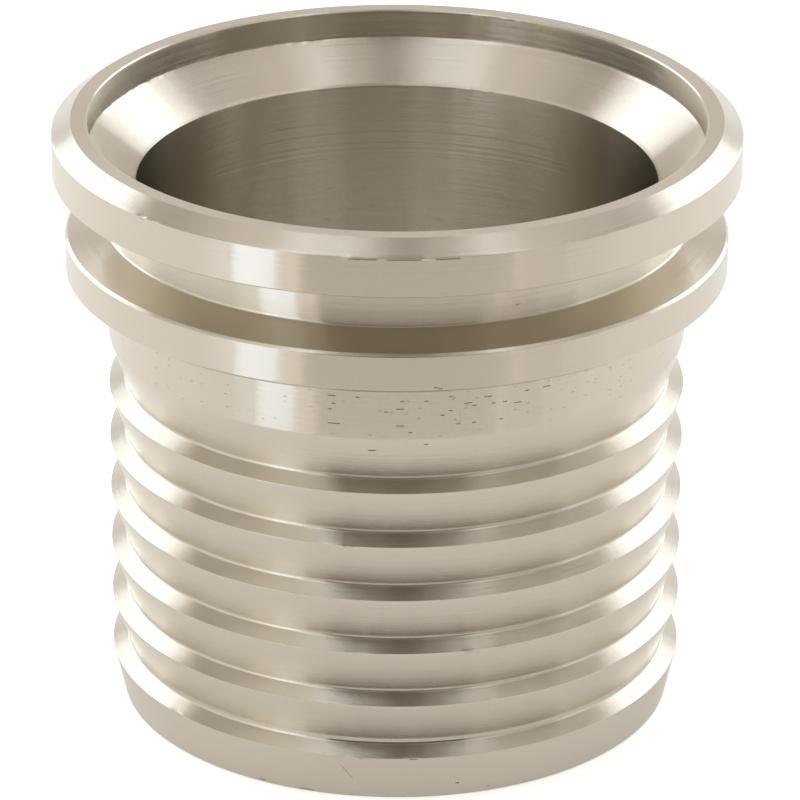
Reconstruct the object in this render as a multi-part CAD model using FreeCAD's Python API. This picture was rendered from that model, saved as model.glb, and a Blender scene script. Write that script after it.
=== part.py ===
import FreeCAD, Part
import math
import os

# One turned piece of stainless steel: a weld end, a clamp groove, a collar and a barbed tail.
# Lengths are in millimetres and angles in degrees. Depths run down from the weld face.

# Weld end
pipe_dia = 88.9  # outside of the pipe that is butt welded on
weld_wall = 4.65  # wall of that pipe, which sets the recess
land_width = 2.15  # flat ring left at the weld face
bevel_angle = 35.0  # weld bevel, from the face plane
flange_depth = 7.0  # weld face to the flange's underside
flange_break = 0.15  # edge break under the flange

# Passage
recess_depth = 3.8  # straight wall in line with the pipe's bore
recess_break = 0.2  # edge break at the recess's mouth
funnel_length = 4.72  # narrows the recess to the bore
bore_break = 0.3  # edge break at the hose end

# Clamp groove and collar
neck_wall = 3.95  # metal between the bore and the groove
groove_width = 6.65  # flange's underside to the neck's foot
collar_dia = 85.8
collar_slope = 17.0  # fall of the collar's upper face, from the face plane
collar_width = 6.65  # neck's foot to the collar's underside
collar_break = 0.35  # edge breaks of the collar's rim
foot_radius = 0.4  # left by the tool where the neck meets the collar

# Barbed tail
tail_dia = 75.0  # plain shank and barb crests
shank_length = 8.63  # collar to the first ramp
barb_count = 6
barb_pitch = 7.42
barb_depth = 2.0
root_wall = 1.85  # metal between the bore and the roots
shoulder_angle = 30.0  # slope of a barb's shoulder, from the face plane
crest_land = 0.12  # narrow flat left on each crest
root_flat = 0.3  # left by the tool's nose at each root
nose_length = 6.35  # last crest to the hose end
nose_fall = 1.4  # in radius, from the last crest to the hose end
nose_break = 0.25  # edge break at the hose end


def slope(angle):
    return math.tan(math.radians(angle))


def bore():
    return tail_dia / 2 - barb_depth - root_wall


def weld_end():
    outer = pipe_dia / 2
    land = outer - weld_wall + land_width
    return [
        (land, 0, 0),
        (outer, (outer - land) * slope(bevel_angle), 0),
        (outer, flange_depth - flange_break, 0),
        (outer - flange_break, flange_depth, 0),
    ]


def groove_and_collar():
    neck = bore() + neck_wall
    rim = collar_dia / 2
    foot = flange_depth + groove_width
    underside = foot + collar_width
    fall = (rim - collar_break - neck) * slope(collar_slope)
    return [
        (neck, flange_depth, 0),
        (neck, foot, foot_radius),
        (rim - collar_break, foot + fall, 0),
        (rim, foot + fall + collar_break, 0),
        (rim, underside - collar_break, 0),
        (rim - collar_break, underside, 0),
        (tail_dia / 2, underside, 0),
    ]


def barbed_tail():
    crest = tail_dia / 2
    root = crest - barb_depth
    rise = barb_depth * slope(shoulder_angle)
    first = flange_depth + groove_width + collar_width + shank_length
    corners = [(crest, first, 0)]
    for number in range(1, barb_count + 1):
        depth = first + number * barb_pitch
        corners.append((root, depth - rise - root_flat, 0))
        corners.append((root, depth - rise, 0))
        corners.append((crest, depth, 0))
        corners.append((crest, depth + crest_land, 0))
    end = first + barb_count * barb_pitch + nose_length
    nose = crest - nose_fall
    taper = nose_fall / (nose_length - crest_land)
    corners.append((nose + taper * nose_break, end - nose_break, 0))
    corners.append((nose - nose_break, end, 0))
    return corners


def passage(end):
    recess = pipe_dia / 2 - weld_wall
    return [
        (bore() + bore_break, end, 0),
        (bore(), end - bore_break, 0),
        (bore(), recess_depth + funnel_length, 0),
        (recess, recess_depth, 0),
        (recess, recess_break, 0),
        (recess + recess_break, 0, 0),
    ]


def outline(corners):
    # Joins (radius, height, rounding) corners by straight runs, with a tangent arc where rounding is set.
    edges = []
    start = None
    count = len(corners)
    for index in range(count + 1):
        here = FreeCAD.Vector(corners[index % count][0], 0, corners[index % count][1])
        rounding = corners[index % count][2]
        back = FreeCAD.Vector(corners[index - 1][0], 0, corners[index - 1][1]) - here
        ahead = FreeCAD.Vector(corners[(index + 1) % count][0], 0, corners[(index + 1) % count][1]) - here
        arrive = here
        leave = here
        if rounding > 0:
            half = back.getAngle(ahead) / 2
            back.normalize()
            ahead.normalize()
            arrive = here + back * (rounding / math.tan(half))
            leave = here + ahead * (rounding / math.tan(half))
            middle = back + ahead
            middle.normalize()
            top = here + middle * (rounding / math.sin(half) - rounding)
        if start is not None:
            edges.append(Part.makeLine(start, arrive))
        if rounding > 0 and index < count:
            edges.append(Part.Arc(arrive, top, leave).toShape())
        start = leave
    return Part.Wire(edges)


def hose_tail():
    corners = weld_end() + groove_and_collar() + barbed_tail()
    end = corners[-1][1]
    corners += passage(end)
    upright = [(radius, end - depth, rounding) for radius, depth, rounding in corners]
    section = Part.Face(outline(upright))
    return section.revolve(FreeCAD.Vector(0, 0, 0), FreeCAD.Vector(0, 0, 1), 360)


os.makedirs("parts", exist_ok=True)
tail = hose_tail()
if not tail.isValid():
    raise RuntimeError("the revolved solid is not valid")
tail.exportStep("parts/hose_tail.step")
box = tail.BoundBox
print("hose_tail", round(box.XLength, 2), round(box.YLength, 2), round(box.ZLength, 2), "faces", len(tail.Faces))
print("volume", round(tail.Volume / 1000, 2), "cm3")
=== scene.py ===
import math

import bpy
import numpy as np
from mathutils import Matrix, Vector


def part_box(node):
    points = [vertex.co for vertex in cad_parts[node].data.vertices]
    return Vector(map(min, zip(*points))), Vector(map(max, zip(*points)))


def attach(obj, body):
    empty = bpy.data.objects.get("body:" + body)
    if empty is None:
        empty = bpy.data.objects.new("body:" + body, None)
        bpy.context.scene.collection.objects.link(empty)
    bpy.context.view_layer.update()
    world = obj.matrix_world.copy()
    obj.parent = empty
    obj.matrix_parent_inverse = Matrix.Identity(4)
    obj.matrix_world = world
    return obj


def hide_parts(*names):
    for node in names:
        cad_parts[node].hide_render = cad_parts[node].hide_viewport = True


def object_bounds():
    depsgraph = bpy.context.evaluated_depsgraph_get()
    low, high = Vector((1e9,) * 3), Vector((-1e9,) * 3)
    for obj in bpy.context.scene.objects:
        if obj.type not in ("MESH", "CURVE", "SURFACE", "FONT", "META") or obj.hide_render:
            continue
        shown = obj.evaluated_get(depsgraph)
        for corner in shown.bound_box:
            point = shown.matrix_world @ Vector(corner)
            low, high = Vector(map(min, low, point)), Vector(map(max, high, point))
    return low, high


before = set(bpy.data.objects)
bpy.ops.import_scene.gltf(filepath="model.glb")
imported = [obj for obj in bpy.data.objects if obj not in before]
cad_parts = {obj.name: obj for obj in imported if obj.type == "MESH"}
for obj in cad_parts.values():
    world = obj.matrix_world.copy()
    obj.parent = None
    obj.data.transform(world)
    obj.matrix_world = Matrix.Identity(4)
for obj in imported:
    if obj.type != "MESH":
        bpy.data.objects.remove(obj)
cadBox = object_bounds()
print("frame loaded")

mm = 0.001
close = 0.001 * mm  # corners nearer than this are one

# The hose tail, in mm and degrees. Depths run down from the weld face, as on the drawing.
hoseTail = {
    "landWidth": 2.15,  # flat ring at the weld face
    "weldWall": 4.65,  # wall of the pipe that is welded on
    "bevelAngle": 35.0,
    "flangeDepth": 7.0,
    "flangeBreak": 0.15,
    "recessDepth": 3.8,
    "recessBreak": 0.2,
    "funnelLength": 4.72,
    "boreBreak": 0.3,
    "neckWall": 3.95,
    "grooveWidth": 6.65,
    "collarRadius": 42.9,
    "collarSlope": 17.0,
    "collarWidth": 6.65,
    "collarBreak": 0.35,
    "tailRadius": 37.5,
    "shankLength": 8.63,
    "barbs": 6,
    "barbPitch": 7.42,
    "barbDepth": 2.0,
    "rootWall": 1.85,
    "shoulderAngle": 30.0,
    "crestLand": 0.12,
    "rootFlat": 0.35,  # plain root below each ramp's foot
    "lastRootFlat": 0.7,
    "noseLength": 6.35,
    "noseFall": 1.4,
    "noseBreak": 0.25,
    "steps": 468,  # around the axis
    "smoothAngle": 20,  # sharper edges stay crisp
    "evenWeight": 80,  # above 50, large faces set the normals
    # rounding of the corners: what the tool's nose and the deburring leave
    "rampFootRound": 0.8,
    "rootRound": 0.35,
    "grooveRound": 0.4,
    "edgeRound": 0.06,
    "rampRound": 0.25,
    "edgeSegments": 2,  # in the rounding of an edge, and in the others
    "roundSegments": 5,
    "guard": 0.35,  # from a marked edge to the ring that keeps its marks from spreading
    # pits and short scores in rows around the outside: depth from the weld face, then angle from the front in
    # degrees, to the right, and length in steps
    "pitHeight": 0.16,
    "pitDepth": 0.14,
    "pitInset": 0.032,  # from a pit's mouth to its floor, seen from above
    "pitRadii": (43.9, 35.5),  # pits are cut outside these, beside the flange and below it
    "pits": {
        1.95: [(-7.3, 1), (-4.7, 5), (-1.3, 1), (0.7, 3), (2.3, 1), (3.7, 1), (7.2, 2), (9.4, 2)],
        11.85: [(23.2, 1)],
        19.6: [(6.5, 1)],
        19.8: [(7.3, 1)],
        23.3: [(-12.2, 2), (-7.6, 1), (10.3, 1)],
        23.75: [(1.2, 1), (5.7, 1), (17.8, 2), (25.6, 1), (30.0, 2)],
        24.35: [(-11.8, 1), (13.9, 2)],
        24.75: [(0.4, 2), (15.0, 1), (18.6, 1), (21.5, 1)],
        25.15: [(-13.0, 1), (-1.8, 1), (10.4, 1), (23.6, 2)],
        25.75: [(8.8, 1), (12.3, 1)],
        27.05: [(-12.2, 3), (0.8, 2), (11.9, 1), (14.7, 1), (20.7, 1)],
        27.95: [(2.7, 1)],
        29.74: [(5.5, 1)],
        30.7: [(-4.6, 2)],
        77.8: [(12.9, 1)],
    },
    # nicks and burrs on edges: depth of the edge, then where they start and end in degrees, and how far in or
    # out the edge stands there
    "edgeMarks": [
        (1.75, [(-7.6, -7.0, 0.08), (4.0, 4.6, 0.08), (-45.8, -45.2, -0.12), (-42.8, -42.2, -0.12)]),
        (43.77, [(-10.2, -9.6, 0.15), (-8.8, -8.4, 0.12), (-14.5, -12.0, -0.08)]),
        (51.19, [(-19.8, -19.2, 0.12), (-17.3, -16.7, 0.12)]),
        (58.61, [(-22.0, -20.2, 0.09), (-6.8, -6.0, -0.15), (14.0, 14.8, 0.15), (20.0, 22.0, 0.08)]),
        (66.03, [(-15.0, -12.5, -0.08), (-11.5, -9.0, -0.08), (19.0, 19.6, -0.15)]),
        (73.45, [(-22.2, -19.6, 0.08), (-15.5, -15.0, -0.15), (-14.2, -13.7, -0.15), (-13.1, -12.6, -0.15),
                 (-11.5, -11.0, -0.15), (-10.5, -10.0, -0.15), (-9.6, -9.1, -0.15), (2.4, 5.0, -0.12),
                 (-50.0, -48.5, -0.15)]),
        (79.5, [(-29.0, -27.2, -0.12), (-19.6, -16.8, -0.12), (-9.0, -8.2, -0.12)]),
    ],
    "edgeReach": 0.14,  # how far above and below an edge its vertices go along
    "edgeMargin": 0.2,  # degrees past a mark's ends
    "edgeInner": 36.0,  # no mark lies inside this radius
    # edges that the tool left ragged: radius and depth, where the stretch starts and ends in degrees, and how
    # far it strays
    "raggedEdges": [
        (39.8, 3.8, -166, -100, 0.1),
        (39.85, 0.3, 152, 168, 0.08),
        (33.65, 8.52, 158, 167, 0.08),
    ],
    "raggedReach": 0.22,  # how far from such an edge its vertices stray too
}


def deselectAll():
    if bpy.context.object and bpy.context.object.mode != "OBJECT":
        bpy.ops.object.mode_set(mode="OBJECT")
    bpy.ops.object.select_all(action="DESELECT")


def makeActive(piece):
    deselectAll()
    piece.select_set(True)
    bpy.context.view_layer.objects.active = piece


def selectParts(piece, kind, chosen):
    # leaves only the chosen vertices or faces selected, in edit mode
    deselectAll()
    bpy.context.view_layer.objects.active = piece
    mesh = piece.data
    for parts in (mesh.vertices, mesh.edges, mesh.polygons):
        parts.foreach_set("select", np.zeros(len(parts), dtype=bool))
    (mesh.vertices if kind == "VERT" else mesh.polygons).foreach_set("select", chosen)
    bpy.ops.object.mode_set(mode="EDIT")
    bpy.ops.mesh.select_mode(type=kind)


def slope(angle):
    return math.tan(math.radians(angle))


def pitRows(t, radiusAt, start, end):
    # two rings for each row of pits, flush with the surface
    half = t["pitHeight"] / 2
    depths = [row + side for row in sorted(t["pits"]) if start < row < end for side in (-half, half)]
    return [(radiusAt(depth), depth, 0) for depth in depths]


def turnedOutline(t, rim, end):
    # corners as (radius, depth, rounding), from the weld face's inner edge down the outside and up the bore
    edge, groove, guard = t["edgeRound"], t["grooveRound"], t["guard"]
    bore = t["tailRadius"] - t["barbDepth"] - t["rootWall"]
    recess = rim - t["weldWall"]
    land = recess + t["landWidth"]
    neck = bore + t["neckWall"]
    collar = t["collarRadius"]
    foot = t["flangeDepth"] + t["grooveWidth"]
    under = foot + t["collarWidth"]
    fall = (collar - t["collarBreak"] - neck) * slope(t["collarSlope"])
    bevelled = (rim - land) * slope(t["bevelAngle"])
    corners = [
        (recess + t["recessBreak"], 0, edge),
        (recess + t["recessBreak"] + guard, 0, 0),
        (land, 0, edge),
        (rim - guard, (rim - land - guard) * slope(t["bevelAngle"]), 0),
        (rim, bevelled, edge),
        *pitRows(t, lambda depth: rim, 0, bevelled + guard),
        (rim, bevelled + guard, 0),
        (rim, t["flangeDepth"] - t["flangeBreak"], edge),
        (rim - t["flangeBreak"], t["flangeDepth"], edge),
        (neck, t["flangeDepth"], groove),
        *pitRows(t, lambda depth: neck, t["flangeDepth"], foot),
        (neck, foot, groove),
        (collar - t["collarBreak"], foot + fall, edge),
        (collar, foot + fall + t["collarBreak"], edge),
        *pitRows(t, lambda depth: collar, foot + fall, under),
        (collar, under - t["collarBreak"], edge),
        (collar - t["collarBreak"], under, edge),
        (t["tailRadius"], under, groove),
    ]
    crest = t["tailRadius"]
    first = under + t["shankLength"]
    rise = t["barbDepth"] * slope(t["shoulderAngle"])
    nose = crest - t["noseFall"]
    taper = t["noseFall"] / (t["noseLength"] - t["crestLand"])
    ramp = t["barbDepth"] / (t["barbPitch"] - t["crestLand"] - rise - t["rootFlat"])
    corners += pitRows(t, lambda depth: crest, under, first)
    corners.append((crest, first, t["rampRound"]))
    for number in range(1, t["barbs"] + 1):
        depth = first + number * t["barbPitch"]
        flat = t["rootFlat"] if number < t["barbs"] else t["lastRootFlat"]
        if number == 1:
            steep = t["barbDepth"] / (t["barbPitch"] - rise - flat)
            corners += pitRows(t, lambda depth: crest - steep * (depth - first), first, depth - rise)
        corners.append((crest - t["barbDepth"], depth - rise - flat, t["rampFootRound"]))
        corners.append((crest - t["barbDepth"], depth - rise, t["rootRound"]))
        corners.append((crest - guard, depth - guard * slope(t["shoulderAngle"]), 0))
        corners.append((crest, depth, 0))
        corners.append((crest, depth + t["crestLand"], 0))
        below = ramp if number < t["barbs"] else taper
        corners.append((crest - below * guard, depth + t["crestLand"] + guard, 0))
    corners += pitRows(t, lambda depth: nose + taper * (end - depth), depth, end)
    narrow = t["recessDepth"] + t["funnelLength"]
    funnel = (recess - bore) / t["funnelLength"]
    corners += [
        (nose + taper * (t["noseBreak"] + guard), end - t["noseBreak"] - guard, 0),
        (nose + taper * t["noseBreak"], end - t["noseBreak"], edge),
        (nose - t["noseBreak"], end, edge),
        (bore + t["boreBreak"], end, edge),
        (bore, end - t["boreBreak"], edge),
        (bore, narrow + guard, 0),
        (bore, narrow, edge),
        (bore + funnel * guard, narrow - guard, 0),
        (recess - funnel * guard, t["recessDepth"] + guard, 0),
        (recess, t["recessDepth"], edge),
        (recess, t["recessDepth"] - guard, 0),
        (recess, t["recessBreak"] + guard, 0),
        (recess, t["recessBreak"], edge),
    ]
    return corners


def drawOutline(name, points):
    # a plane is merged to one vertex, and the outline is drawn from it, one extrusion a corner
    deselectAll()
    bpy.ops.mesh.primitive_plane_add(size=mm, location=(0, 0, 0))
    piece = bpy.context.object
    piece.name = name
    bpy.ops.object.mode_set(mode="EDIT")
    bpy.ops.mesh.select_all(action="SELECT")
    bpy.ops.mesh.merge(type="CENTER")
    bpy.ops.transform.translate(value=points[0])
    for here, there in zip(points, points[1:]):
        step = Vector(there) - Vector(here)
        bpy.ops.mesh.extrude_vertices_move(TRANSFORM_OT_translate={"value": step})
    bpy.ops.object.mode_set(mode="OBJECT")
    # the last corner is joined to the first
    selectParts(piece, "VERT", [v.index in (0, len(points) - 1) for v in piece.data.vertices])
    bpy.ops.mesh.edge_face_add()
    bpy.ops.object.mode_set(mode="OBJECT")
    return piece


def roundCorners(piece, t, points, rounding):
    # corners of one radius are bevelled together, and a bevel's width runs along the edges, so it is worked
    # out from the radius
    for radius in sorted(set(rounding) - {0}, reverse=True):
        groups = {}
        for index, size in enumerate(rounding):
            if size != radius:
                continue
            here = Vector(points[index])
            back = (Vector(points[index - 1]) - here).normalized()
            ahead = (Vector(points[(index + 1) % len(points)]) - here).normalized()
            width = radius * mm / math.tan(back.angle(ahead) / 2)
            groups.setdefault(round(width, 7), []).append(here)
        segments = t["roundSegments"] if radius > t["edgeRound"] else t["edgeSegments"]
        for width, places in groups.items():
            near = [any((v.co - place).length < close for place in places) for v in piece.data.vertices]
            selectParts(piece, "VERT", near)
            bpy.ops.mesh.bevel(offset=width, segments=segments, profile=0.5, affect="VERTICES")
            bpy.ops.object.mode_set(mode="OBJECT")


def storeRun(piece):
    # the length along the outline is kept on the vertices, for tool marks that follow the surface
    mesh = piece.data
    links = {}
    for edge in mesh.edges:
        a, b = edge.vertices
        links.setdefault(a, []).append(b)
        links.setdefault(b, []).append(a)
    # it starts in the bore's mouth at the hose end, out of sight
    start = min(links, key=lambda i: (mesh.vertices[i].co.z, mesh.vertices[i].co.x))
    run = np.zeros(len(mesh.vertices))
    here, total = start, 0.0
    after = max(links[start], key=lambda i: mesh.vertices[i].co.x)
    while after != start:
        total += (mesh.vertices[after].co - mesh.vertices[here].co).length
        run[after] = total
        here, after = after, [i for i in links[after] if i != here][0]
    layer = mesh.attributes.new("run", "FLOAT", "POINT")
    layer.data.foreach_set("value", run)


def turnOutline(piece, steps):
    # the screw modifier with no rise turns the outline once around the axis
    makeActive(piece)
    turn = piece.modifiers.new("turn", "SCREW")
    turn.axis = "Z"
    turn.angle = 2 * math.pi
    turn.screw_offset = 0
    turn.steps = steps
    turn.render_steps = steps
    turn.use_merge_vertices = True
    turn.merge_threshold = 0.0001 * mm
    bpy.ops.object.modifier_apply(modifier="turn")
    bpy.ops.object.mode_set(mode="EDIT")
    bpy.ops.mesh.select_all(action="SELECT")
    bpy.ops.mesh.remove_doubles(threshold=close)
    bpy.ops.mesh.normals_make_consistent(inside=False)
    bpy.ops.object.mode_set(mode="OBJECT")


def polar(parts, key, top):
    # radius, depth and angle from the front of vertices or faces, the angle growing to the right
    places = np.empty(len(parts) * 3)
    parts.foreach_get(key, places)
    x, y, z = places.reshape(-1, 3).T
    return np.hypot(x, y) / mm, top - z / mm, np.degrees(np.arctan2(x, -y))


def cutPits(piece, t, top):
    radius, depth, angle = polar(piece.data.polygons, "center", top)
    beside, below = t["pitRadii"]
    outside = radius > np.where(depth < t["flangeDepth"], beside, below)
    chosen = np.zeros(len(radius), dtype=bool)
    for row, pits in t["pits"].items():
        # a face of the row has its centre well inside the row's height
        inRow = (np.abs(depth - row) < t["pitHeight"] / 4) & outside
        for place, steps in pits:
            halfLength = 180 / t["steps"] * steps
            chosen |= inRow & (np.abs(angle - place) < halfLength)
    selectParts(piece, "FACE", chosen)
    bpy.ops.mesh.inset(thickness=t["pitInset"] * mm, depth=-t["pitDepth"] * mm)
    bpy.ops.object.mode_set(mode="OBJECT")


def markEdges(piece, t, top):
    radius, depth, angle = polar(piece.data.vertices, "co", top)
    margin = t["edgeMargin"]
    # marks of one size are made together
    moves = {}
    for edgeDepth, marks in t["edgeMarks"]:
        edge = (np.abs(depth - edgeDepth) < t["edgeReach"]) & (radius > t["edgeInner"])
        for start, end, move in marks:
            within = (angle > start - margin) & (angle < end + margin)
            moves[move] = moves.get(move, False) | (edge & within)
    for move, chosen in moves.items():
        selectParts(piece, "VERT", chosen)
        scale = 1 + move / t["tailRadius"]
        bpy.ops.transform.resize(value=(scale, scale, 1), center_override=(0, 0, 0))
        bpy.ops.object.mode_set(mode="OBJECT")
    for seed, (edgeRadius, edgeDepth, start, end, stray) in enumerate(t["raggedEdges"]):
        near = np.hypot(radius - edgeRadius, depth - edgeDepth) < t["raggedReach"]
        selectParts(piece, "VERT", near & (angle > start) & (angle < end))
        bpy.ops.transform.vertex_random(offset=stray * mm, seed=seed)
        bpy.ops.object.mode_set(mode="OBJECT")


def evenShading(piece, t):
    # large faces keep flat normals, and the turned edges between them stay crisp
    makeActive(piece)
    bpy.ops.object.shade_smooth_by_angle(angle=math.radians(t["smoothAngle"]))
    even = piece.modifiers.new("even", "WEIGHTED_NORMAL")
    even.mode = "FACE_AREA"
    even.weight = t["evenWeight"]
    even.keep_sharp = True
    bpy.ops.object.modifier_apply(modifier="even")


def buildHoseTail(t):
    low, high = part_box("hose_tail")
    rim = high[0] / mm
    top = high[2] / mm
    end = (high[2] - low[2]) / mm
    corners = turnedOutline(t, rim, end)
    points = [(r * mm, 0, low[2] + (end - depth) * mm) for r, depth, _ in corners]
    piece = drawOutline("hoseTailTurned", points)
    roundCorners(piece, t, points, [size for _, _, size in corners])
    storeRun(piece)
    turnOutline(piece, t["steps"])
    cutPits(piece, t, top)
    markEdges(piece, t, top)
    evenShading(piece, t)
    piece.data.calc_loop_triangles()
    print("hose tail,", len(piece.data.loop_triangles), "triangles")
    return piece


def hexColour(code):
    # an sRGB hex value as the linear colour that the shader wants
    parts = [int(code[i:i + 2], 16) / 255 for i in (1, 3, 5)]
    return tuple(c / 12.92 if c <= 0.04045 else ((c + 0.055) / 1.055) ** 2.4 for c in parts) + (1.0,)


def addNode(tree, kind, inputs=None, **settings):
    # adds one node, with its settings, and its inputs as values or as links from other nodes' sockets
    node = tree.nodes.new(kind)
    for key, value in settings.items():
        setattr(node, key, value)
    for key, value in (inputs or {}).items():
        if isinstance(value, bpy.types.NodeSocket):
            tree.links.new(value, node.inputs[key])
        else:
            node.inputs[key].default_value = value
    return node


# The turned steel. Lengths are in mm, and heights are above the floor.
steel = {
    "colour": "#D4CDBE",
    "roughness": 0.17,
    "anisotropy": 1.0,
    "anisotropyTurn": 0.25,  # of a full turn
    "feed": 0.08,  # between tool marks
    "markDepth": 0.0048,  # from crest to hollow of a tool mark
    "markSpread": 0.3,  # how far the marks differ from one to the next
    "spreadScale": 0.2,  # the noise that makes them differ, and the part of its range that is used
    "spreadDetail": 2.0,
    "spreadRoughness": 0.7,
    "spreadRange": (0.25, 0.75),
    "boreMarks": 1.9,  # how much deeper the boring bar's marks are
    "boreRadii": (33.9, 34.2),  # they are within the first, and give way to the others up to the second
    "recessMarks": 1.4,  # the same for the recess, which lies within this radius and above this height
    "recessRadius": 39.95,
    "recessFloor": 76.0,
    "fleckColour": "#A1988A",  # small open pores in the shank's skin
    "fleckSize": (1.5, 0.36),  # around and along the axis, one cell of the pattern
    "fleckReach": (0.12, 0.2),  # of a cell: full within the first and gone past the second
    "fleckKept": 0.66,  # a cell holds a pore if its random number is above this
    "fleckHeights": (51.1, 57.1),
    # fine dark lines near the hose end: start and end, each around from the front and up, and the width. Most
    # are scratches, but the long one along the last root at the front is painted shade in the root's crease
    "scratchesAndRootShade": [
        ((-6.87, 5.04), (-5.4, 2.92), 0.07),
        # painted shade: a dark line along the crease of the last root, at the front only, not a scratch
        ((-8.7, 7.62), (9.3, 7.62), 0.16),
        ((1.8, 6.2), (2.9, 6.2), 0.15),
        ((-4.45, 6.2), (-3.95, 6.2), 0.12),
        ((-18.4, 0.5), (-17.6, 0.5), 0.15),
        ((-12.6, 0.35), (-10.7, 0.35), 0.13),
        ((12.2, 0.9), (12.6, 0.9), 0.13),
    ],
    "scratchAndShadeRadius": 36.8,  # where they are measured
    # one dark colour for the scratches and for the painted shade along the last root
    "scratchAndShadeColour": "#8A8175",
}


def emptyTree(name):
    # a new material, and its node tree with nothing in it
    material = bpy.data.materials.new(name)
    material.use_nodes = True
    material.node_tree.nodes.clear()
    return material, material.node_tree


def toolMarks(tree, t, place, up):
    # rings of shallow hollows that follow the outline, a little uneven
    run = addNode(tree, "ShaderNodeAttribute", attribute_name="run").outputs["Fac"]
    marks = addNode(tree, "ShaderNodeMath", {0: run, 1: 1 / (t["feed"] * mm)},
                    operation="MULTIPLY").outputs[0]
    within = addNode(tree, "ShaderNodeMath", {0: marks, 1: 0.5}, operation="PINGPONG").outputs[0]
    hollow = addNode(tree, "ShaderNodeMath", {0: within, 1: within}, operation="MULTIPLY").outputs[0]
    noise = addNode(tree, "ShaderNodeTexNoise", {
        "W": marks, "Scale": t["spreadScale"], "Detail": t["spreadDetail"],
        "Roughness": t["spreadRoughness"]}, noise_dimensions="1D").outputs["Fac"]
    low, high = t["spreadRange"]
    uneven = addNode(tree, "ShaderNodeMapRange", {
        0: noise, 1: low, 2: high, 3: 1 - t["markSpread"], 4: 1 + t["markSpread"]}).outputs[0]
    height = addNode(tree, "ShaderNodeMath", {0: hollow, 1: uneven}, operation="MULTIPLY").outputs[0]
    # they are deeper in the bore and the recess, told apart by the distance from the axis and the height
    level = addNode(tree, "ShaderNodeVectorMath", {0: place, 1: (1, 1, 0)}, operation="MULTIPLY").outputs[0]
    apart = addNode(tree, "ShaderNodeVectorMath", {0: level}, operation="LENGTH").outputs["Value"]
    near, far = t["boreRadii"]
    deeper = addNode(tree, "ShaderNodeMapRange", {
        0: apart, 1: near * mm, 2: far * mm, 3: t["boreMarks"], 4: 1}).outputs[0]
    inside = addNode(tree, "ShaderNodeMath", {0: apart, 1: t["recessRadius"] * mm},
                     operation="LESS_THAN").outputs[0]
    raised = addNode(tree, "ShaderNodeMath", {0: up, 1: t["recessFloor"] * mm},
                     operation="GREATER_THAN").outputs[0]
    recess = addNode(tree, "ShaderNodeMath", {0: inside, 1: raised}, operation="MULTIPLY").outputs[0]
    deeper = addNode(tree, "ShaderNodeMath", {0: recess, 1: t["recessMarks"] - 1, 2: deeper},
                     operation="MULTIPLY_ADD").outputs[0]
    height = addNode(tree, "ShaderNodeMath", {0: height, 1: deeper}, operation="MULTIPLY").outputs[0]
    # a hollow's square runs to a quarter, so the depth is taken four times
    return addNode(tree, "ShaderNodeBump", {
        "Height": height, "Strength": 1.0, "Distance": 4 * t["markDepth"] * mm}).outputs[0]


def fleckMask(tree, t, place, up):
    # cells stretched around the axis, of which one in three holds a pore
    around, along = (1 / (size * mm) for size in t["fleckSize"])
    cells = addNode(tree, "ShaderNodeVectorMath", {0: place, 1: (around, around, along)},
                    operation="MULTIPLY").outputs[0]
    pores = addNode(tree, "ShaderNodeTexVoronoi", {"Vector": cells, "Scale": 1.0}).outputs
    core, rim = t["fleckReach"]
    fleck = addNode(tree, "ShaderNodeMapRange", {
        0: pores["Distance"], 1: core, 2: rim, 3: 1, 4: 0}).outputs[0]
    chance = addNode(tree, "ShaderNodeSeparateColor", {0: pores["Color"]}).outputs[0]
    kept = addNode(tree, "ShaderNodeMath", {0: chance, 1: t["fleckKept"]},
                   operation="GREATER_THAN").outputs[0]
    low, high = t["fleckHeights"]
    above = addNode(tree, "ShaderNodeMath", {0: up, 1: low * mm}, operation="GREATER_THAN").outputs[0]
    below = addNode(tree, "ShaderNodeMath", {0: up, 1: high * mm}, operation="LESS_THAN").outputs[0]
    for part in (kept, above, below):
        fleck = addNode(tree, "ShaderNodeMath", {0: fleck, 1: part}, operation="MULTIPLY").outputs[0]
    return fleck


def scratchAndShadeMask(tree, t, split):
    # the surface is unrolled to mm around and up, where each line is 1 close to it and 0 elsewhere
    forward = addNode(tree, "ShaderNodeMath", {0: split["Y"], 1: -1.0}, operation="MULTIPLY").outputs[0]
    turn = addNode(tree, "ShaderNodeMath", {0: split["X"], 1: forward}, operation="ARCTAN2").outputs[0]
    arc = addNode(tree, "ShaderNodeMath", {0: turn, 1: t["scratchAndShadeRadius"]}, operation="MULTIPLY").outputs[0]
    up = addNode(tree, "ShaderNodeMath", {0: split["Z"], 1: 1 / mm}, operation="MULTIPLY").outputs[0]
    spot = addNode(tree, "ShaderNodeCombineXYZ", {0: arc, 1: up}).outputs[0]
    mask = 0.0
    for start, stop, width in t["scratchesAndRootShade"]:
        length = math.dist(start, stop)
        ahead = ((stop[0] - start[0]) / length, (stop[1] - start[1]) / length, 0)
        across = (-ahead[1], ahead[0], 0)
        away = addNode(tree, "ShaderNodeVectorMath", {0: spot, 1: (*start, 0)},
                       operation="SUBTRACT").outputs[0]
        done = addNode(tree, "ShaderNodeVectorMath", {0: away, 1: ahead},
                       operation="DOT_PRODUCT").outputs["Value"]
        side = addNode(tree, "ShaderNodeVectorMath", {0: away, 1: across},
                       operation="DOT_PRODUCT").outputs["Value"]
        along = addNode(tree, "ShaderNodeMath", {0: done, 1: length / 2, 2: length / 2},
                        operation="COMPARE").outputs[0]
        near = addNode(tree, "ShaderNodeMath", {0: side, 1: 0.0, 2: width / 2},
                       operation="COMPARE").outputs[0]
        line = addNode(tree, "ShaderNodeMath", {0: along, 1: near}, operation="MULTIPLY").outputs[0]
        mask = addNode(tree, "ShaderNodeMath", {0: line, 1: mask}, operation="MAXIMUM").outputs[0]
    return mask


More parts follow.
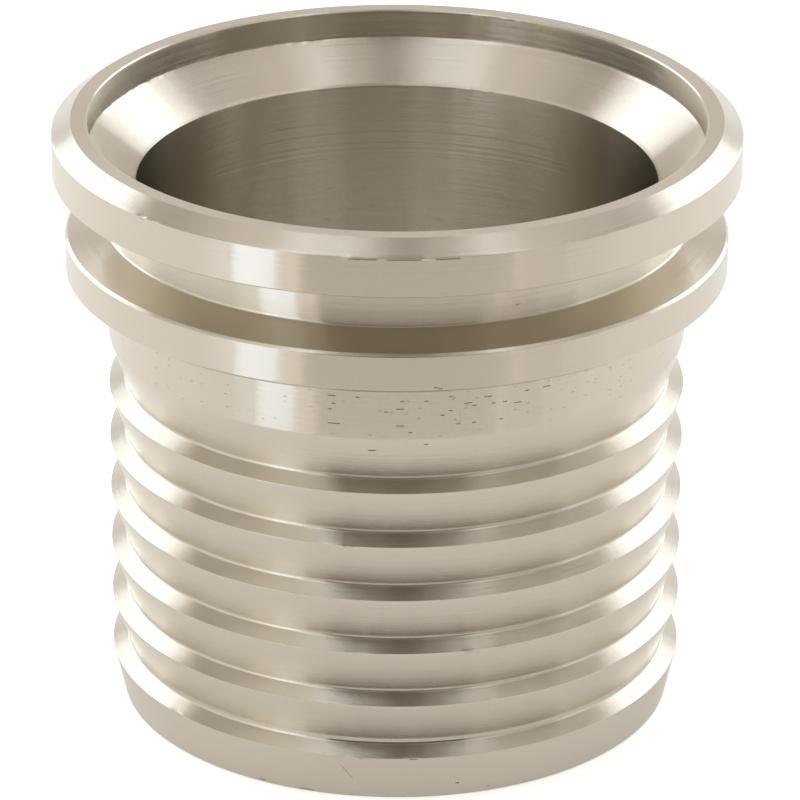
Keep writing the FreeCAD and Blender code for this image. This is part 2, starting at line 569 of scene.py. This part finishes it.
def turnedStainless(t):
    # 316L stainless steel as it leaves the lathe: the hollows that the tool's feed leaves lie in rings
    # and draw each reflection out across them
    material, tree = emptyTree("turnedStainless")
    place = addNode(tree, "ShaderNodeTexCoord").outputs["Object"]
    split = addNode(tree, "ShaderNodeSeparateXYZ", {0: place}).outputs
    bump = toolMarks(tree, t, place, split["Z"])
    tangent = addNode(tree, "ShaderNodeTangent", direction_type="RADIAL", axis="Z").outputs[0]
    fleck = fleckMask(tree, t, place, split["Z"])
    scratchedAndShaded = scratchAndShadeMask(tree, t, split)
    colour = addNode(tree, "ShaderNodeMix", {
        0: fleck, 6: hexColour(t["colour"]), 7: hexColour(t["fleckColour"])}, data_type="RGBA").outputs[2]
    # dark scratches near the hose end, and painted shade along the front of the last root
    colour = addNode(tree, "ShaderNodeMix", {
        0: scratchedAndShaded, 6: colour, 7: hexColour(t["scratchAndShadeColour"])}, data_type="RGBA").outputs[2]
    shader = addNode(tree, "ShaderNodeBsdfPrincipled", {
        "Base Color": colour, "Metallic": 1.0, "Roughness": t["roughness"], "Normal": bump,
        "Anisotropic": t["anisotropy"], "Anisotropic Rotation": t["anisotropyTurn"], "Tangent": tangent})
    addNode(tree, "ShaderNodeOutputMaterial", {0: shader.outputs[0]})
    return material


studio = {
    "floor": "#E9E7E3",
    "floorRadius": 6,  # metres
    # what the floor adds for the camera, so that it is white, and for reflections, in front and behind
    "floorLift": (0.6, 0.24, 0.34),
    "floorBlend": 0.12,  # metres from the middle to where each of the last two is reached
    "world": 0.97,
    "paper": "#FFF6EE",  # flags and cloths are slightly warm, and the lamps and the key's cloth slightly cool
    "lamp": "#E6F0FF",
    # Azimuth 0 is the camera's side and grows to the right, elevation is from the floor, both in degrees.
    # Each row gives where it starts and ends in azimuth and elevation, its radiance, where 1 is white, and
    # its distance in metres.
    "flags": {
        "frontFlag": (-31, 29, 0, 26, 0.03, 1.5),
        "frontHighFlag": (-31, 29, 26, 53, 0.25, 1.5),
        "frontTopFlag": (-11, 13, 52, 84, 0.2, 1.55),
        "leftFlag": (-63, -52, 0, 24, 1.5, 1.5),
        "rightFlag": (29, 46, 0, 42, 0.45, 1.5),
        "rightLowFlag": (46, 68, 0, 36, 0.35, 1.5),
        "leftHighFlag": (-129, -70, 44, 56, 0.45, 1.5),
        "rightHighFlag": (70, 129, 44, 56, 0.4, 1.5),
        "leftTopFlag": (-104, -64, 56, 73, 0.9, 1.5),
        "rightTopFlag": (62, 104, 56, 73, 0.9, 1.5),
        "frontCeiling": (-90, 90, 52, 90, 0.52, 1.8),
        "backWall": (90, 270, 16, 90, 0.76, 1.8),
    },
    "flagGrid": (24, 12),  # steps across and up a flag or a cloth
    "softboxes": {
        "keySoftbox": (-52, -39, 0, 20, 1.6, 1.45),
        "keyTopSoftbox": (-63, -38, 53, 82, 1.75, 1.5),
        "fillTopSoftbox": (36, 61, 55, 76, 1.5, 1.5),
        "leftStrip": (-149, -128, 0, 7, 2.4, 1.45),
        "rightStrip": (128, 149, 0, 7, 2.4, 1.45),
        "leftSoftbox": (-151, -106, 7, 43, 1.6, 1.6),
        "rightSoftbox": (106, 151, 7, 43, 1.6, 1.6),
    },
    # stretches of the table in front, seen in the metal only: azimuths, radii and radiance
    "cloths": {
        "cloth": (-31, 33, 0.12, 1.5, 0.75),
        "lineCloth": (33, 36.5, 0.12, 1.5, 0.92),
        "rightCloth": (36.5, 50, 0.12, 1.5, 0.83),
        "keyCloth": (-52, -38.5, 0.12, 1.5, 1.75),
        "secondCloth": (-37.5, -31, 0.12, 1.5, 1.1),
    },
    "clothHeight": 0.0005,  # metres above the floor
}


def plainFloor(t):
    # matt paper sweep
    material, tree = emptyTree("paleFloor")
    paper = addNode(tree, "ShaderNodeBsdfDiffuse", {"Color": hexColour(t["floor"])}).outputs[0]
    seenLift, frontLift, backLift = t["floorLift"]
    rays = addNode(tree, "ShaderNodeLightPath").outputs
    place = addNode(tree, "ShaderNodeTexCoord").outputs["Object"]
    depth = addNode(tree, "ShaderNodeSeparateXYZ", {0: place}).outputs["Y"]
    mirrored = addNode(tree, "ShaderNodeMapRange", {
        0: depth, 1: -t["floorBlend"], 2: t["floorBlend"], 3: frontLift, 4: backLift}).outputs[0]
    glossy = addNode(tree, "ShaderNodeMath", {0: rays["Is Glossy Ray"], 1: rays["Is Transmission Ray"]},
                     operation="MAXIMUM").outputs[0]
    glossy = addNode(tree, "ShaderNodeMath", {0: glossy, 1: mirrored}, operation="MULTIPLY").outputs[0]
    direct = addNode(tree, "ShaderNodeMath", {0: rays["Is Camera Ray"], 1: seenLift},
                     operation="MULTIPLY").outputs[0]
    lift = addNode(tree, "ShaderNodeMath", {0: glossy, 1: direct}, operation="MAXIMUM").outputs[0]
    glow = addNode(tree, "ShaderNodeEmission", {"Color": (1, 1, 1, 1), "Strength": lift}).outputs[0]
    both = addNode(tree, "ShaderNodeAddShader", {0: paper, 1: glow}).outputs[0]
    addNode(tree, "ShaderNodeOutputMaterial", {0: both})
    return material


def flagMaterial(name, colour, radiance):
    # lit cloth, evenly bright from all sides
    material, tree = emptyTree(name)
    glow = addNode(tree, "ShaderNodeEmission", {"Color": hexColour(colour), "Strength": radiance}).outputs[0]
    addNode(tree, "ShaderNodeOutputMaterial", {0: glow})
    return material


def around(azimuth, elevation, distance):
    a, e = math.radians(azimuth), math.radians(elevation)
    return Vector((math.sin(a) * math.cos(e), -math.cos(a) * math.cos(e), math.sin(e))) * distance


def addFlag(name, grid, place, colour, radiance):
    # a grid bent by a function from its two directions, each from 0 to 1, to a place, unseen by the camera
    deselectAll()
    across, up = grid
    bpy.ops.mesh.primitive_grid_add(x_subdivisions=across, y_subdivisions=up, size=1, location=(0, 0, 0))
    flag = bpy.context.object
    flag.name = name
    for vertex in flag.data.vertices:
        vertex.co = place(vertex.co.x + 0.5, vertex.co.y + 0.5)
    flag.data.materials.append(flagMaterial(name, colour, radiance))
    flag.visible_camera = False
    return flag


def addSoftbox(name, colour, start, end, low, high, radiance, distance):
    # a flat panel that faces the object and spans these azimuths and elevations
    middle, height = (start + end) / 2, (low + high) / 2
    place = around(middle, height, distance)
    width = (around(end, height, distance) - around(start, height, distance)).length
    tall = 2 * distance * math.tan(math.radians(high - low) / 2)
    light = bpy.data.lights.new(name, "AREA")
    light.shape = "RECTANGLE"
    light.size = width
    light.size_y = tall
    light.energy = radiance * math.pi * width * tall
    light.color = hexColour(colour)[:3]
    lamp = bpy.data.objects.new(name, light)
    bpy.context.collection.objects.link(lamp)
    turn = Matrix.Rotation(math.radians(middle), 4, "Z") @ Matrix.Rotation(math.radians(90 - height), 4, "X")
    lamp.matrix_world = Matrix.Translation(place) @ turn
    lamp.visible_camera = False


def buildStudio(t):
    deselectAll()
    radius = t["floorRadius"]
    bpy.ops.mesh.primitive_circle_add(vertices=96, radius=radius, fill_type="NGON", location=(0, 0, 0))
    floor = bpy.context.object
    floor.name = "floor"
    floor.data.materials.append(plainFloor(t))
    world = bpy.data.worlds.new("studio")
    bpy.context.scene.world = world
    world.use_nodes = True
    world.node_tree.nodes["Background"].inputs["Color"].default_value = (1, 1, 1, 1)
    world.node_tree.nodes["Background"].inputs["Strength"].default_value = t["world"]
    for name, (start, end, low, high, radiance, distance) in t["flags"].items():
        bend = lambda u, v: around(start + (end - start) * u, low + (high - low) * v, distance)
        addFlag(name, t["flagGrid"], bend, t["paper"], radiance)
    for name, values in t["softboxes"].items():
        addSoftbox(name, t["lamp"], *values)
    lift = Vector((0, 0, t["clothHeight"]))
    for name, (start, end, near, far, radiance) in t["cloths"].items():
        lay = lambda u, v: around(start + (end - start) * u, 0, near + (far - near) * v) + lift
        colour = t["lamp"] if name == "keyCloth" else t["paper"]
        cloth = addFlag(name, t["flagGrid"], lay, colour, radiance)
        cloth.visible_diffuse = False
        cloth.visible_shadow = False


photoCamera = {
    # fitted to the rim, the collar and the crests in the photograph
    "focal": 5778.07,  # pixels, as is the frame
    "frame": 800,
    "sensor": 36,  # mm
    "distance": 0.7424,  # metres from the weld face's centre
    # angles in radians
    "elevation": 0.362926,
    "aimUp": -0.04928606,
    "aimSide": -0.00065467,
    "roll": -0.00413218,
}


def buildCamera(t, topHeight):
    data = bpy.data.cameras.new("photoCamera")
    data.sensor_width = t["sensor"]
    data.lens = t["focal"] * t["sensor"] / t["frame"]
    camera = bpy.data.objects.new("photoCamera", data)
    bpy.context.collection.objects.link(camera)
    e = t["elevation"]
    camera.location = Vector((0, -math.cos(e), math.sin(e))) * t["distance"] + Vector((0, 0, topHeight))
    forward = Vector((0, math.cos(e), -math.sin(e)))
    right = Vector((1, 0, 0))
    up = right.cross(forward)
    axes = Matrix((right, up, -forward)).transposed()
    turn = Matrix.Rotation(t["aimSide"], 3, up) @ axes
    turn = Matrix.Rotation(t["aimUp"], 3, turn.col[0]) @ turn
    turn = Matrix.Rotation(t["roll"], 3, -turn.col[2]) @ turn
    camera.rotation_mode = "QUATERNION"
    camera.rotation_quaternion = turn.to_quaternion()
    bpy.context.scene.camera = camera


piece = buildHoseTail(hoseTail)
piece.data.materials.append(turnedStainless(steel))
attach(piece, "root")
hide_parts("hose_tail")
print("hose tail turned,", len(piece.data.polygons), "faces")

buildStudio(studio)
buildCamera(photoCamera, cadBox[1][2])
print("studio and camera set")

bpy.context.scene.view_settings.view_transform = "Standard"
